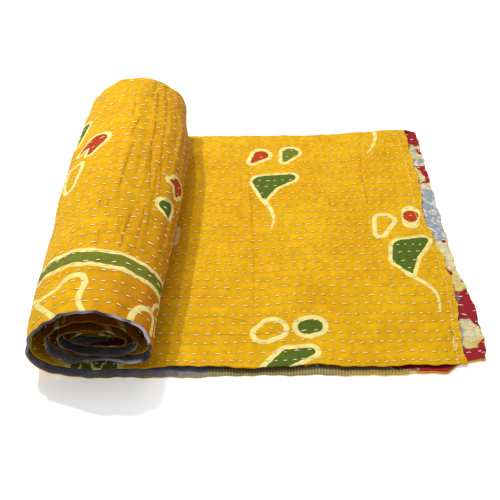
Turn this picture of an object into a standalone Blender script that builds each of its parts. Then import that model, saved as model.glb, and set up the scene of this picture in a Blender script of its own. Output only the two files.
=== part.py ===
"""A folded and rolled quilt, lying on a surface.

Two cotton cloths, a printed face and a printed backing, are quilted together. The quilt is folded in
half across its width, backing inside, with the fold at the back and both hems at the front. Its right
end lies flat. The rest is rolled up to the left, on top of itself.

The section of the folds and turns lies in the XZ plane and the quilt's width runs along Y. Each cloth
is one sheet that follows that section, thickened to its real thickness.
Units are metres, +Z is up, and the object lies on z = 0.
"""

import math

import bmesh
import bpy
import numpy as np

# Size of the folded quilt
FOLDED_DEPTH = 0.760  # front hem to back fold: half of a quilt 1.52 m wide
TAIL_END = 0.336  # x of the flat end, near which both plies stop

# The layers
CLOTH = 0.0011  # one quilted cloth with its share of the padding
SEWN_GAP = 0.0003  # between the face and the backing
AIR = 0.0016  # between the two plies
HALF = AIR / 2 + 2 * CLOTH + SEWN_GAP  # from the middle of the section to its outside
FACE_OFFSET = HALF - CLOTH / 2
BACKING_OFFSET = AIR / 2 + CLOTH / 2

# The roll's section: where its middle line is lowest, furthest left, highest and furthest right, turn
# by turn from the flat run inwards. Each stretch between two of them is a quarter of an ellipse, made
# fuller by a fullness under 1 and leaner by one over 1. Share is how far the place follows the swell.
EXTREMES = (
    # x, z, fullness of the stretch that follows, share
    (-0.305, HALF, 0.92, 0.0),
    (-0.400, 0.0560, 1.16, 1.0),
    (-0.293, 0.1530, 1.03, 1.0),
    (-0.1965, 0.0800, 0.82, 1.0),
    (-0.265, 0.0165, 0.90, 0.0),
    (-0.371, 0.0560, 1.03, 0.8),
    (-0.303, 0.1110, 1.00, 0.8),
    (-0.2215, 0.0600, 0.95, 0.8),
    (-0.280, 0.0305, 0.95, 0.0),
    (-0.3505, 0.0610, 1.00, 0.4),
    (-0.312, 0.0850, 1.00, 0.4),
    (-0.2420, 0.0600, 1.00, 0.4),
    (-0.286, 0.0430, 1.00, 0.0),
    (-0.3350, 0.0590, 1.00, 0.0),
    (-0.300, 0.0715, 1.00, 0.0),
    (-0.2600, 0.0580, 1.00, 0.0),
)
ROLL_QUARTERS = 14.6  # quarter turns from the flat run to the cloth's inner end

# The swell: how far the outer turn bulges past its section at the front
SWELL = (
    # y, to the left, to the right, upwards
    (0.000, 0.003, 0.000, 0.000),
    (0.060, 0.012, 0.001, 0.001),
    (0.120, 0.016, 0.002, 0.002),
    (0.260, 0.020, 0.009, 0.006),
    (0.400, 0.029, 0.013, 0.010),
    (0.550, 0.031, 0.015, 0.014),
    (0.760, 0.027, -0.004, 0.009),
)

# A pleat under the second turn and softer dents further in
DENTS = (
    # quarter turn, half width in quarters, height
    (4.44, 0.115, -0.0095),
    (8.45, 0.16, 0.0020),
    (10.60, 0.20, -0.0025),
)

# Creases along the roll, and slack ripples in the flat end's upper ply
CREASES = (
    # length along the path, height, drift of the crease over the depth, phase
    (0.043, 0.0007, 1.1, 0.4),
    (0.071, 0.0009, -1.7, 2.1),
)
RIPPLES = (
    # length along x, length along y, height
    (0.31, 0.90, 0.0012),
    (0.17, 0.38, 0.0006),
)

# The hems
FRONT_HEMS = (
    # distance along the path, y of the lower ply, y of the upper ply
    (0.000, 0.034, 0.022),
    (0.050, 0.007, 0.019),
    (0.185, 0.002, 0.013),
    (0.250, 0.002, 0.018),
    (0.360, 0.001, 0.009),
    (0.490, -0.004, 0.013),
    (0.646, -0.005, 0.010),
    (0.790, -0.001, 0.014),
    (0.930, 0.000, 0.016),
    (1.070, 0.003, 0.019),
    (1.190, 0.022, 0.038),
    (1.270, 0.013, 0.030),
    (1.420, 0.018, 0.034),
    (1.600, 0.019, 0.036),
    (1.900, 0.030, 0.048),
    (2.300, 0.034, 0.052),
)
RIGHT_HEMS = (
    # y, x of the lower ply, x of the upper ply
    (0.000, 0.350, 0.331),
    (0.060, 0.374, 0.337),
    (0.160, 0.375, 0.341),
    (0.300, 0.360, 0.338),
    (0.520, 0.357, 0.332),
    (0.760, 0.356, 0.330),
)

# The mesh
PLY_SHARES = (0.0, 0.05, 0.2, 0.4, 0.6, 0.8)  # places in a ply, from its front hem to the fold
FOLD_SPANS = 4
FOLD_SHARE = 0.2  # the fold's share of the way across, from 0 at the middle of the fold to 1 at a hem
END_STEPS = (0.0, 0.020, 0.050)
FLAT_STEP = 0.050
ROLL_STEP = 0.021
CHORD_ERROR = 0.0005

FACE_COLOUR = (0.86, 0.42, 0.01, 1.0)
BACKING_COLOUR = (0.20, 0.23, 0.28, 1.0)


def smooth(t):
    """Ease from 0 to 1."""
    t = min(max(t, 0.0), 1.0)
    return t * t * (3.0 - 2.0 * t)


def eased(rows, column, at):
    """A table's value at a place in its first column, level at each row."""
    at = min(max(at, rows[0][0]), rows[-1][0])
    for before, after in zip(rows, rows[1:]):
        if at <= after[0]:
            share = smooth((at - before[0]) / (after[0] - before[0]))
            return before[column] + (after[column] - before[column]) * share


def extreme(i, y):
    """One of the section's extremes, with the swell at this place across the depth."""
    x, z, fullness, share = EXTREMES[i]
    left, right, up = (eased(SWELL, column, y) * share for column in (1, 2, 3))
    x += (0.0, -left, (right - left) / 2, right)[i % 4]
    z += (0.0, 0.6 * up, up, 0.3 * up)[i % 4]
    return x, z, fullness


def roll_point(quarter, y):
    """Middle of the section after some quarter turns, for one place across the depth."""
    i = min(int(quarter), len(EXTREMES) - 2)
    x0, z0, fullness = extreme(i, y)
    x1, z1, _ = extreme(i + 1, y)
    angle = (quarter - i) * math.pi / 2
    away = math.sin(angle) ** fullness
    level = 1.0 - abs(math.cos(angle)) ** fullness
    across, up = (away, level) if i % 2 == 0 else (level, away)
    dent = sum(height * math.exp(-(((quarter - at) / width) ** 2)) for at, width, height in DENTS)
    return x0 + (x1 - x0) * across, z0 + (z1 - z0) * up + dent


FLAT_RUN = TAIL_END - EXTREMES[0][0]
QUARTERS = np.linspace(0.0, ROLL_QUARTERS, 3000)
ROLL_POINTS = np.array([roll_point(quarter, 0.0) for quarter in QUARTERS])
ROLL_LENGTHS = np.concatenate(([0.0], np.cumsum(np.hypot(*np.diff(ROLL_POINTS, axis=0).T))))
PATH_LENGTH = FLAT_RUN + float(ROLL_LENGTHS[-1])


def section_point(along, y):
    """Middle of the section at a distance along the path, for one place across the depth."""
    if along <= FLAT_RUN:
        return np.array((TAIL_END - along, HALF))
    quarter = float(np.interp(along - FLAT_RUN, ROLL_LENGTHS, QUARTERS))
    return np.array(roll_point(quarter, y))


def section_normal(along, y):
    """Direction from the lower ply to the upper one: up on the flat end, inwards in the roll."""
    step = 0.002
    middle = min(along, PATH_LENGTH - step)
    way = section_point(middle + step, y) - section_point(middle - step, y)
    tangent = way / np.linalg.norm(way)
    return np.array((tangent[1], -tangent[0]))


def crease(along, y):
    """Creases that run across the quilt's width, in the roll only."""
    fade = smooth((along - FLAT_RUN - 0.02) / 0.10)
    turn = 2 * math.pi
    return fade * sum(
        height * math.sin(turn * along / length + drift * math.sin(turn * y / FOLDED_DEPTH) + phase)
        for length, height, drift, phase in CREASES
    )


def ripple(along, y):
    """How far the upper ply of the flat end is lifted off the lower one."""
    fade = smooth(along / 0.05) * smooth((FLAT_RUN - 0.06 - along) / 0.10)
    turn = 2 * math.pi
    waves = sum(
        height * (1.0 + math.sin(turn * along / length + turn * y / width))
        for length, width, height in RIPPLES
    )
    return fade * waves


def place(along, across, offset):
    """A point of a sheet. across runs from -1 at the upper front hem over 0 at the fold to 1 below."""
    back = FOLDED_DEPTH - HALF
    distance = abs(across)
    if distance >= FOLD_SHARE:
        lower = 1.0 if across > 0 else 0.0
        hem = eased(FRONT_HEMS, 1 if across > 0 else 2, along)
        y = back + (hem - back) * (distance - FOLD_SHARE) / (1.0 - FOLD_SHARE)
        height = offset * (1.0 - 2.0 * lower)
    else:
        turn = across / FOLD_SHARE * math.pi / 2
        lower = 0.5 + 0.5 * math.sin(turn)
        y = back + offset * math.cos(turn)
        height = -offset * math.sin(turn)
    lift = ripple(along, y) * (1.0 - lower) * smooth((FOLDED_DEPTH - y) / 0.10)
    x, z = section_point(along, y) + section_normal(along, y) * (height + crease(along, y) + lift)
    end = eased(RIGHT_HEMS, 2, y) * (1.0 - lower) + eased(RIGHT_HEMS, 1, y) * lower
    x += (end - TAIL_END) * (1.0 - smooth(along / 0.20))
    return x, y, z


def across_places():
    """Places across one sheet: a few in each ply, and more in the fold."""
    ply = [1.0 - (1.0 - FOLD_SHARE) * share for share in PLY_SHARES]
    half_fold = [FOLD_SHARE * i / (FOLD_SPANS / 2) for i in range(FOLD_SPANS // 2, 0, -1)]
    side = ply + half_fold
    return [-distance for distance in side] + [0.0] + side[::-1]


def stations():
    """Distances along the path, closer together where the cloth bends more."""
    marks = list(END_STEPS)
    while marks[-1] < PATH_LENGTH:
        at = marks[-1]
        if at < FLAT_RUN - FLAT_STEP:
            marks.append(at + FLAT_STEP)
            continue
        normals = [section_normal(at + shift, 0.0) for shift in (0.0, 0.008, 0.016)]
        bends = [math.acos(min(1.0, float(a @ b))) for a, b in zip(normals, normals[1:])]
        radius = 0.008 / max(*bends, 1e-3)
        marks.append(at + min(ROLL_STEP, math.sqrt(8.0 * radius * CHORD_ERROR)))
    if PATH_LENGTH - marks[-2] < 0.004:
        marks.pop()
    marks[-1] = PATH_LENGTH
    return marks


def material(name, colour, roughness):
    """A plain material."""
    made = bpy.data.materials.new(name)
    made.use_nodes = True
    shader = made.node_tree.nodes["Principled BSDF"]
    shader.inputs["Base Color"].default_value = colour
    shader.inputs["Roughness"].default_value = roughness
    shader.inputs["Metallic"].default_value = 0.0
    return made


def cloth(name, offset, colour, marks):
    """One cloth of the quilt, folded, rolled and thickened."""
    places = across_places()
    bm = bmesh.new()
    bmesh.ops.create_grid(bm, x_segments=len(marks) - 1, y_segments=len(places) - 1, size=0.5)
    for vert in bm.verts:
        column = round((vert.co.x + 0.5) * (len(marks) - 1))
        row = round((vert.co.y + 0.5) * (len(places) - 1))
        vert.co = place(marks[column], places[row], offset)
    bmesh.ops.triangulate(bm, faces=bm.faces, quad_method="FIXED")
    mesh = bpy.data.meshes.new(name)
    bm.to_mesh(mesh)
    bm.free()
    mesh.shade_smooth()
    mesh.materials.append(material(name, colour, 0.9))
    sheet = bpy.data.objects.new(name, mesh)
    bpy.context.scene.collection.objects.link(sheet)
    thicken = sheet.modifiers.new("Thickness", "SOLIDIFY")
    thicken.thickness = CLOTH
    thicken.offset = 0.0
    return sheet


def centre(sheets):
    """Move the sheets so that the origin is below their middle, on the surface they lie on."""
    bpy.context.view_layer.update()
    points = [vert.co for sheet in sheets for vert in sheet.data.vertices]
    middle_x = (min(p.x for p in points) + max(p.x for p in points)) / 2
    middle_y = (min(p.y for p in points) + max(p.y for p in points)) / 2
    for sheet in sheets:
        for vert in sheet.data.vertices:
            vert.co.x -= middle_x
            vert.co.y -= middle_y


def main():
    for old in list(bpy.data.objects):
        bpy.data.objects.remove(old)
    marks = stations()
    sheets = [
        cloth("quilt_face", FACE_OFFSET, FACE_COLOUR, marks),
        cloth("quilt_backing", BACKING_OFFSET, BACKING_COLOUR, marks),
    ]
    centre(sheets)


main()
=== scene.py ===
"""Looks of a folded and rolled kantha quilt: two printed cloths, their running stitches and their hems.

Every place on a cloth is given by three numbers, all in metres. Along runs along the path of the fold
and roll, from the flat end's right hem inwards. Width runs across the cloth from the upper ply's front
hem, over the fold at the back, to the lower ply's front hem. Height is measured out of the middle of the
two plies.
"""

import math

import bmesh
import bpy
import numpy as np
from mathutils import Matrix, Vector, noise


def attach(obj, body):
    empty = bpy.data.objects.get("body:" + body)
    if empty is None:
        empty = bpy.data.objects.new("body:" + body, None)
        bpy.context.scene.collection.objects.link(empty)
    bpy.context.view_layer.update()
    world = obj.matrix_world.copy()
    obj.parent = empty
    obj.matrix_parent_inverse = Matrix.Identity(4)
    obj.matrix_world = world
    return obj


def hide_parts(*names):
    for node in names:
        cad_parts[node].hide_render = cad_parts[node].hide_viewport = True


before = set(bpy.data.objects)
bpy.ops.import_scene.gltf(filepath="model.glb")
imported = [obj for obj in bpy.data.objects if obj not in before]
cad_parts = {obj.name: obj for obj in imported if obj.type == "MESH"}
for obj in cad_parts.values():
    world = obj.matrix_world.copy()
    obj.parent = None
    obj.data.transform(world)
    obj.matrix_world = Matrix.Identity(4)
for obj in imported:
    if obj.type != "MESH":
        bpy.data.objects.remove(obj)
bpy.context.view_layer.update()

bl_info = {
    "name": "Folded and rolled quilt",
    "version": (1, 0, 0),
    "blender": (4, 5, 0),
    "location": "3D View > Sidebar > Quilt",
    "description": "Cloths, print, quilting stitches and hems of a folded and rolled quilt",
    "category": "Add Mesh",
}

# The folds and turns, as in the part's source
FOLDED_DEPTH = 0.760
TAIL_END = 0.336
CLOTH = 0.0011
SEWN_GAP = 0.0003
AIR = 0.0016
HALF = AIR / 2 + 2 * CLOTH + SEWN_GAP
FOLD_REACH = HALF * math.pi / 2  # of cloth, on each side of the fold's line
CENTRE = (-0.02903, 0.37723)  # of the source's box, seen from above

EXTREMES = np.array((
    # x, z, fullness of the stretch that follows, share of the swell
    (-0.305, HALF, 0.92, 0.0),
    (-0.400, 0.0560, 1.16, 1.0),
    (-0.293, 0.1530, 1.03, 1.0),
    (-0.1965, 0.0800, 0.82, 1.0),
    (-0.265, 0.0165, 0.90, 0.0),
    (-0.371, 0.0560, 1.03, 0.8),
    (-0.303, 0.1110, 1.00, 0.8),
    (-0.2215, 0.0600, 0.95, 0.8),
    (-0.280, 0.0305, 0.95, 0.0),
    (-0.3505, 0.0610, 1.00, 0.4),
    (-0.312, 0.0850, 1.00, 0.4),
    (-0.2420, 0.0600, 1.00, 0.4),
    (-0.286, 0.0430, 1.00, 0.0),
    (-0.3350, 0.0590, 1.00, 0.0),
    (-0.300, 0.0715, 1.00, 0.0),
    (-0.2600, 0.0580, 1.00, 0.0),
))
ROLL_QUARTERS = 14.6
PATH_STEPS = 3000
SWELL = (
    # depth, to the left, to the right, upwards
    (0.000, 0.003, 0.000, 0.000),
    (0.060, 0.012, 0.001, 0.001),
    (0.120, 0.016, 0.002, 0.002),
    (0.260, 0.020, 0.009, 0.006),
    (0.400, 0.029, 0.013, 0.010),
    (0.550, 0.031, 0.015, 0.014),
    (0.760, 0.027, -0.004, 0.009),
)
DENTS = (
    # quarter turn, half width in quarters, height
    (4.44, 0.115, -0.0095),
    (8.45, 0.16, 0.0020),
    (10.60, 0.20, -0.0025),
)
CREASES = (
    # length along the path, height, drift over the depth, phase
    (0.043, 0.0007, 1.1, 0.4),
    (0.071, 0.0009, -1.7, 2.1),
)
RIPPLES = (
    # length along, length in depth, height
    (0.31, 0.90, 0.0012),
    (0.17, 0.38, 0.0006),
)
FRONT_HEMS = (
    # along, depth of the lower ply's hem, of the upper ply's
    (0.000, 0.034, 0.022),
    (0.028, 0.030, 0.021),
    (0.052, 0.007, 0.019),
    (0.185, 0.002, 0.013),
    (0.250, 0.002, 0.018),
    (0.360, 0.001, 0.009),
    (0.490, -0.004, 0.013),
    (0.646, -0.005, 0.010),
    (0.790, -0.001, 0.014),
    (0.930, 0.000, 0.016),
    (1.070, 0.003, 0.019),
    (1.190, 0.022, 0.038),
    (1.270, 0.013, 0.030),
    (1.420, 0.018, 0.034),
    (1.600, 0.019, 0.036),
    (1.900, 0.030, 0.048),
    (2.300, 0.034, 0.052),
)
RIGHT_HEMS = (
    # depth, x of the lower ply's hem, of the upper ply's
    (0.000, 0.350, 0.331),
    (0.060, 0.374, 0.337),
    (0.160, 0.375, 0.341),
    (0.300, 0.360, 0.338),
    (0.520, 0.357, 0.332),
    (0.760, 0.356, 0.330),
)

# The hems' turned edges: the face is turned in over the edge and meets the backing
EDGE_RADIUS = CLOTH + SEWN_GAP / 2
EDGE_STEPS = (0.0008, 0.0016, 0.0024, 0.0030)
FACE_TURN = (
    # along, share of the half turn that the face covers on the lower hem, on the upper hem
    (0.00, 0.95, 0.55),
    (0.19, 0.95, 0.55),
    (0.25, 0.60, 0.55),
    (0.74, 0.70, 0.55),
    (0.80, 0.12, 0.55),
    (1.16, 0.12, 0.55),
    (1.22, 0.70, 0.55),
    (2.00, 0.70, 0.55),
)
HEM_BEAD = (
    # along, how much thicker the lower ply's front hem is rolled
    (0.00, 0.0012),
    (0.19, 0.0012),
    (0.25, 0.0002),
    (0.66, 0.0002),
    (0.80, 0.0019),
    (1.14, 0.0019),
    (1.24, 0.0008),
    (2.00, 0.0008),
)

# How the hems, the fold, the roll and the far right corner stray
RIGHT_HEM_SHIFT = (
    # depth, how much further right the upper ply's right hem lies than in the part's source
    (0.000, 0.001),
    (0.067, -0.004),
    (0.127, -0.001),
    (0.215, 0.005),
    (0.287, 0.004),
    (0.359, -0.006),
    (0.440, -0.012),
    (0.500, -0.003),
    (0.580, 0.000),
    (0.760, -0.003),
)
LIFTED_HEM = (
    # along, how far the upper ply's front hem stands off the lower one
    (0.060, 0.0000),
    (0.130, 0.0030),
    (0.300, 0.0050),
    (0.370, 0.0025),
    (0.470, 0.0060),
    (0.560, 0.0010),
    (0.640, 0.0000),
)
FLOOR_GAP = 0.0002  # least height of the cloths over the floor
NEAR_HEM = 0.050  # the strip at a front hem that lifts and sways
SHIFT_LENGTH = 0.20  # the flat end's shift to its uneven right hems fades out over this much
CORNER_LENGTH = 0.26  # the corner is pulled back and lifted over this much of the flat end
CORNER_BACK = 0.018
CORNER_LIFT = 0.004
FOLD_WAVES = (
    # height, length along, phase
    (0.0013, 0.083, 1.0),
    (0.0009, 0.031, 0.0),
)
RIGHT_EDGE_WAVES = (
    # height, length in depth, phase
    (0.0014, 0.071, 0.0),
    (0.0009, 0.027, 0.0),
)
SWAY = (
    # height, size along, size in depth, seed, share of it away from the front hem
    (0.0011, 0.036, 0.055, 21.0, 1.0),
    (0.0036, 0.019, 0.045, 23.0, 0.0),
)

# The main creases, given one by one
CREASE_LINES = (
    # ply, along and depth at the back end, at the front end, how deep it looks
    ("lower", 0.965, 0.756, 0.958, 0.658, 0.8),
    ("lower", 0.969, 0.700, 0.970, 0.474, 1.0),
    ("lower", 0.970, 0.474, 0.983, 0.316, 1.0),
    ("lower", 0.989, 0.690, 0.985, 0.538, 0.8),
    ("lower", 0.985, 0.538, 1.000, 0.324, 0.8),
    ("lower", 1.012, 0.640, 1.010, 0.470, 0.5),
    ("lower", 0.929, 0.640, 0.930, 0.570, 0.7),
    ("lower", 0.939, 0.564, 0.934, 0.496, 1.0),
    ("lower", 0.939, 0.478, 0.934, 0.320, 0.9),
    ("lower", 0.960, 0.256, 0.956, 0.152, 1.0),
    ("lower", 0.943, 0.240, 0.948, 0.194, 0.8),
    ("lower", 0.980, 0.278, 0.978, 0.158, 0.7),
    ("lower", 0.922, 0.298, 0.922, 0.236, 0.6),
    ("lower", 0.908, 0.296, 0.909, 0.258, 0.6),
    ("lower", 0.919, 0.200, 0.922, 0.150, 0.5),
    ("lower", 0.888, 0.582, 0.889, 0.552, 0.5),
    ("lower", 0.870, 0.620, 0.873, 0.588, 0.4),
    ("upper", 0.384, 0.604, 0.377, 0.470, 0.6),
    ("upper", 0.377, 0.470, 0.370, 0.322, 0.6),
    ("upper", 0.370, 0.322, 0.367, 0.130, 0.4),
    ("upper", 0.402, 0.590, 0.396, 0.420, 0.3),
    ("upper", 0.114, 0.739, 0.129, 0.600, 0.5),
    ("upper", 0.129, 0.600, 0.124, 0.460, 0.6),
    ("upper", 0.146, 0.665, 0.146, 0.632, 0.6),
    ("upper", 0.056, 0.705, 0.064, 0.630, 0.5),
    ("upper", 0.054, 0.551, 0.060, 0.458, 0.4),
    ("upper", 0.206, 0.500, 0.207, 0.455, 0.7),
    ("upper", 0.018, 0.096, 0.012, 0.056, 1.0),
)
FINE_CREASES = (
    # along and width of both ends, on the flat end's upper ply
    ((0.481, 0.118), (0.426, 0.126)),
    ((0.426, 0.126), (0.378, 0.112)),
    ((0.431, 0.080), (0.377, 0.077)),
    ((0.360, 0.080), (0.301, 0.085)),
)
CREASE_FADE = 0.010  # length in which a crease starts and ends
CREASE_WANDER = 0.0022
CREASE_REACH = 0.0095
GROOVE_REACH = 0.0040
RIDGE_PLACE = 0.0075  # of the low ridges beside a groove
RIDGE_REACH = 0.0030

# The quilting
ROW_PAIR = 0.048  # two rows of stitches
CLOSE_ROWS = 0.022  # the narrower gap of each pair
FIRST_ROW = 0.011
PITCH = (0.0155, 0.0070)  # shortest stitch and gap together, and how much longer the longest is
PITCH_STEP = 0.618  # from row to row, as a share of the range of pitches
START_STEP = 0.387  # from row to row, as a share of a pitch
ROW_WAVES = (
    # height, length along, turns in a metre of width
    (0.0022, 0.410, 1.3),
    (0.0012, 0.137, -2.1),
    (0.0005, 0.059, 6.1),
)
PULL_REACH = 0.0042  # how far from its row a stitch pulls the cloth in
BACKING_SHARE = 0.4  # of the padding's height, on the backing
STITCH_SPREAD = (0.0009, 0.0005, 0.18, 0.16, 0.10)  # of along, width, length, tilt and thickness
STITCH_TILT = -0.10
NO_STITCHES = (0.008, 0.006)  # within this of the lower ply's front hem, and of the fold or an end
EDGE_STITCH = (0.0016, 0.0060, 0.7)  # along, length, share of the thread's thickness
EDGE_SPREAD = (0.003, 0.30, 0.0010, 0.30)  # of width, length, along and tilt
EDGE_APART = (0.0260, 0.0119)  # on the lower ply, on the upper ply
HEM_STITCHES = 83
OVERLAP = 1.12  # of stitches end to end
HEM_INSET = (
    # width, how far in from the right hem its line of thread lies
    (0.000, 0.0110),
    (0.240, 0.0120),
    (0.330, 0.0110),
    (0.480, 0.0190),
    (0.760, 0.0180),
)
LOOSE_LOOP = (
    # along, width
    (0.0126, 0.067),
    (0.0136, 0.050),
    (0.0136, 0.038),
    (0.0112, 0.035),
    (0.0088, 0.041),
    (0.0090, 0.050),
)
LOOSE_END = ((0.0160, 0.012), (0.0150, 0.004), (0.0140, -0.001))

# The print, in metres along the cloth and from its front
DROPS = (
    # ply, fill, outline's width, pointed end's place and radius, round end's place and radius
    ("upper", "red", 0.0098, 0.3770, 0.6400, 0.005, 0.3565, 0.6690, 0.0175),
    ("upper", "olive", 0.0090, 0.3025, 0.6430, 0.005, 0.2885, 0.6775, 0.0195),
    ("upper", "open", 0.0098, 0.1105, 0.3750, 0.006, 0.0970, 0.4180, 0.0165),
    ("upper", "cream", 0.0000, 0.0430, 0.4080, 0.018, 0.0385, 0.4480, 0.0190),
    ("upper", "red", 0.0020, 0.0415, 0.4270, 0.015, 0.0400, 0.4350, 0.0155),
    ("upper", "open", 0.0098, 0.3470, 0.0890, 0.0155, 0.3310, 0.1010, 0.0190),
    ("upper", "green", 0.0098, 0.2700, 0.1070, 0.0170, 0.2580, 0.1110, 0.0165),
    ("upper", "green", 0.0098, 0.6640, 0.0100, 0.0140, 0.6170, 0.0120, 0.0200),
    ("upper", "red", 0.0098, 0.7080, 0.0360, 0.0040, 0.6940, 0.0300, 0.0060),
    ("upper", "green", 0.0082, 0.3480, 0.4940, 0.0030, 0.3530, 0.5600, 0.0220),
    ("upper", "green", 0.0082, 0.2905, 0.5750, 0.0125, 0.3430, 0.5615, 0.0240),
    ("upper", "green", 0.0082, 0.2905, 0.5740, 0.0125, 0.3300, 0.5570, 0.0220),
    ("upper", "green", 0.0082, 0.3480, 0.4940, 0.0030, 0.3330, 0.5565, 0.0205),
    ("upper", "green", 0.0082, 0.0270, 0.3500, 0.0115, 0.0640, 0.3270, 0.0270),
    ("upper", "green", 0.0082, 0.0270, 0.3490, 0.0110, 0.0580, 0.3170, 0.0210),
    ("upper", "green", 0.0082, 0.0740, 0.2930, 0.0215, 0.0640, 0.3270, 0.0270),
    ("upper", "green", 0.0082, 0.0650, 0.2530, 0.0040, 0.0740, 0.2930, 0.0215),
    ("upper", "green", 0.0082, 0.0650, 0.2530, 0.0040, 0.0640, 0.3000, 0.0190),
    ("upper", "green", 0.0098, 0.3520, -0.0120, 0.0060, 0.3020, 0.0340, 0.0190),
    ("upper", "green", 0.0098, 0.2680, 0.0475, 0.0105, 0.3020, 0.0340, 0.0190),
    ("upper", "open", 0.0090, 0.5370, 0.3490, 0.0060, 0.5370, 0.3840, 0.0065),
    ("lower", "green", 0.0090, 0.8120, 0.5450, 0.0040, 0.8190, 0.6120, 0.0120),
    ("lower", "red", 0.0085, 0.8320, 0.4890, 0.0030, 0.8740, 0.5020, 0.0180),
    ("lower", "red", 0.0085, 0.8630, 0.4640, 0.0060, 0.8750, 0.4940, 0.0150),
    ("lower", "open", 0.0090, 0.8320, 0.3700, 0.0080, 0.8300, 0.4260, 0.0190),
    ("lower", "open", 0.0070, 0.8060, 0.4080, 0.0020, 0.8080, 0.4260, 0.0040),
    ("lower", "red", 0.0080, 1.0345, 0.3720, 0.0030, 1.0390, 0.4080, 0.0170),
    ("lower", "red", 0.0080, 1.0150, 0.3960, 0.0030, 1.0350, 0.4060, 0.0150),
    ("lower", "green", 0.0080, 1.0245, 0.2950, 0.0030, 1.0180, 0.3160, 0.0140),
    ("lower", "green", 0.0080, 1.0230, 0.3260, 0.0070, 1.0170, 0.3120, 0.0140),
)
STALKS = (
    # ply, half width at the start, at the end, points
    ("upper", 0.0060, 0.0016, (0.349, 0.488), (0.334, 0.455), (0.328, 0.420), (0.335, 0.385)),
    ("upper", 0.0060, 0.0020, (0.071, 0.249), (0.058, 0.237), (0.036, 0.214), (0.024, 0.187), (0.027, 0.146)),
    ("upper", 0.0050, 0.0016, (0.084, 0.765), (0.082, 0.739), (0.095, 0.695), (0.109, 0.671)),
    ("upper", 0.0030, 0.0026, (0.667, 0.000), (0.661, 0.014), (0.654, 0.030)),
    ("upper", 0.0026, 0.0026, (0.646, 0.028), (0.637, 0.010), (0.627, 0.010), (0.616, 0.030)),
    ("upper", 0.0030, 0.0030, (0.720, 0.028), (0.702, 0.040), (0.690, 0.020)),
    ("vine", 0.0028, 0.0056, (0.789, 0.090), (0.810, 0.073), (0.838, 0.060), (0.867, 0.066), (0.889, 0.082)),
    ("vine", 0.0056, 0.0044, (0.889, 0.082), (0.908, 0.083), (0.917, 0.064), (0.912, 0.040),
        (0.911, 0.020), (0.922, -0.004)),
    ("vine", 0.0048, 0.0048, (0.810, 0.073), (0.842, 0.032), (0.876, -0.008)),
    ("vine", 0.0056, 0.0050, (0.995, -0.004), (0.999, 0.020), (1.010, 0.038), (1.024, 0.045),
        (1.040, 0.042), (1.044, 0.010)),
    ("vine", 0.0036, 0.0036, (1.031, 0.044), (1.043, 0.074), (1.062, 0.086), (1.060, 0.052), (1.058, 0.022)),
)
VINE_REPEAT = (0.787, 0.300)  # start and length of the border's repeat
MOTIF_REPEAT = (0.740, 0.360)  # start and length of the leaves' repeat on the lower ply
BAND = (
    # along, depth of the border band's middle
    (0.000, 0.124),
    (0.640, 0.130),
    (0.770, 0.138),
    (0.870, 0.133),
    (0.930, 0.125),
    (1.020, 0.119),
    (1.200, 0.122),
    (2.000, 0.124),
)
BAND_HALF = 0.0135
BAND_OUTLINE = 0.009
BAND_RAGGED = 0.0026
FAR = 0.05  # the distance kept where no edge of the print or crease is near

# The backing's print: round patches of one dye each, over repeats of the blue one
BLUE_REPEAT = (0.34, 0.23)  # along, depth
BLUE_HALF = (0.110, 0.085)
BLUE_SHIFT = 0.12  # of every second row
BLUE_FROM = 0.12  # no repeats nearer the right end
PATCHES = (
    # dye, ply, along, depth, reach along, reach in depth
    ("cream", "lower", -0.002, 0.672, 0.028, 0.048),
    ("cream", "lower", 0.014, 0.590, 0.026, 0.040),
    ("cream", "lower", -0.012, 0.455, 0.070, 0.100),
    ("cream", "lower", -0.015, 0.282, 0.060, 0.076),
    ("cream", "lower", -0.014, 0.094, 0.026, 0.034),
    ("blue", "lower", -0.006, 0.694, 0.010, 0.014),
    ("blue", "lower", -0.007, 0.648, 0.012, 0.012),
    ("blue", "lower", -0.005, 0.446, 0.100, 0.088),
    ("blue", "lower", 0.000, 0.108, 0.008, 0.012),
    ("slate", "lower", 1.070, -0.050, 0.650, 0.420),
    ("slate", "upper", 1.350, -0.050, 0.940, 0.420),
    ("slate", "lower", -0.0125, 0.1926, 0.004, 0.007),
    ("khaki", "lower", 0.270, -0.010, 0.195, 0.040),
    ("khaki", "lower", 0.520, -0.018, 0.240, 0.016),
    ("red", "lower", -0.0155, 0.6840, 0.005, 0.014),
    ("red", "lower", -0.0168, 0.3523, 0.004, 0.005),
    ("red", "lower", -0.0209, 0.2649, 0.004, 0.005),
    ("red", "lower", -0.0110, 0.2554, 0.007, 0.008),
)

# The camera, from the front hem's line
CAMERA_HEIGHT = 1.0
CAMERA_BACK = 0.86014
CAMERA_TILT = 40.0
CAMERA_TURN = 1.95
CAMERA_ROLL = 1.4
LENS_PIXELS = 770.0
IMAGE_SIDE = 500.0
SENSOR_WIDTH = 36.0

LAMPS = (
    # name, place, size
    ("key", (-1.12, 0.85, 2.40), 0.10),
    ("second", (-0.60, 0.95, 2.40), 0.14),
    ("overhead", (-0.30, 0.80, 2.60), 3.00),
)

# Where the cloths show
FLAT_SEEN = 0.60  # the flat end shows up to here
OUTER_TURN = (0.62, 1.20)  # the face shows on the roll from here to here
INTO_THE_ROLL = (1.17, 1.23)  # the outer turn goes inside the roll
HAND = 0.10  # from a front hem
OFF_THE_FLOOR = (0.66, 0.74)  # the lower ply leaves the floor


def smooth(t):
    """Ease from 0 to 1."""
    t = np.clip(t, 0.0, 1.0)
    return t * t * (3.0 - 2.0 * t)


def eased(rows, column, at):
    """A table's value at places in its first column, level at each row."""
    table = np.array(rows)
    places = table[:, 0]
    at = np.clip(at, places[0], places[-1])
    i = np.clip(np.searchsorted(places, at, side="right") - 1, 0, len(places) - 2)
    share = smooth((at - places[i]) / (places[i + 1] - places[i]))
    return table[i, column] + (table[i + 1, column] - table[i, column]) * share


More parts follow.
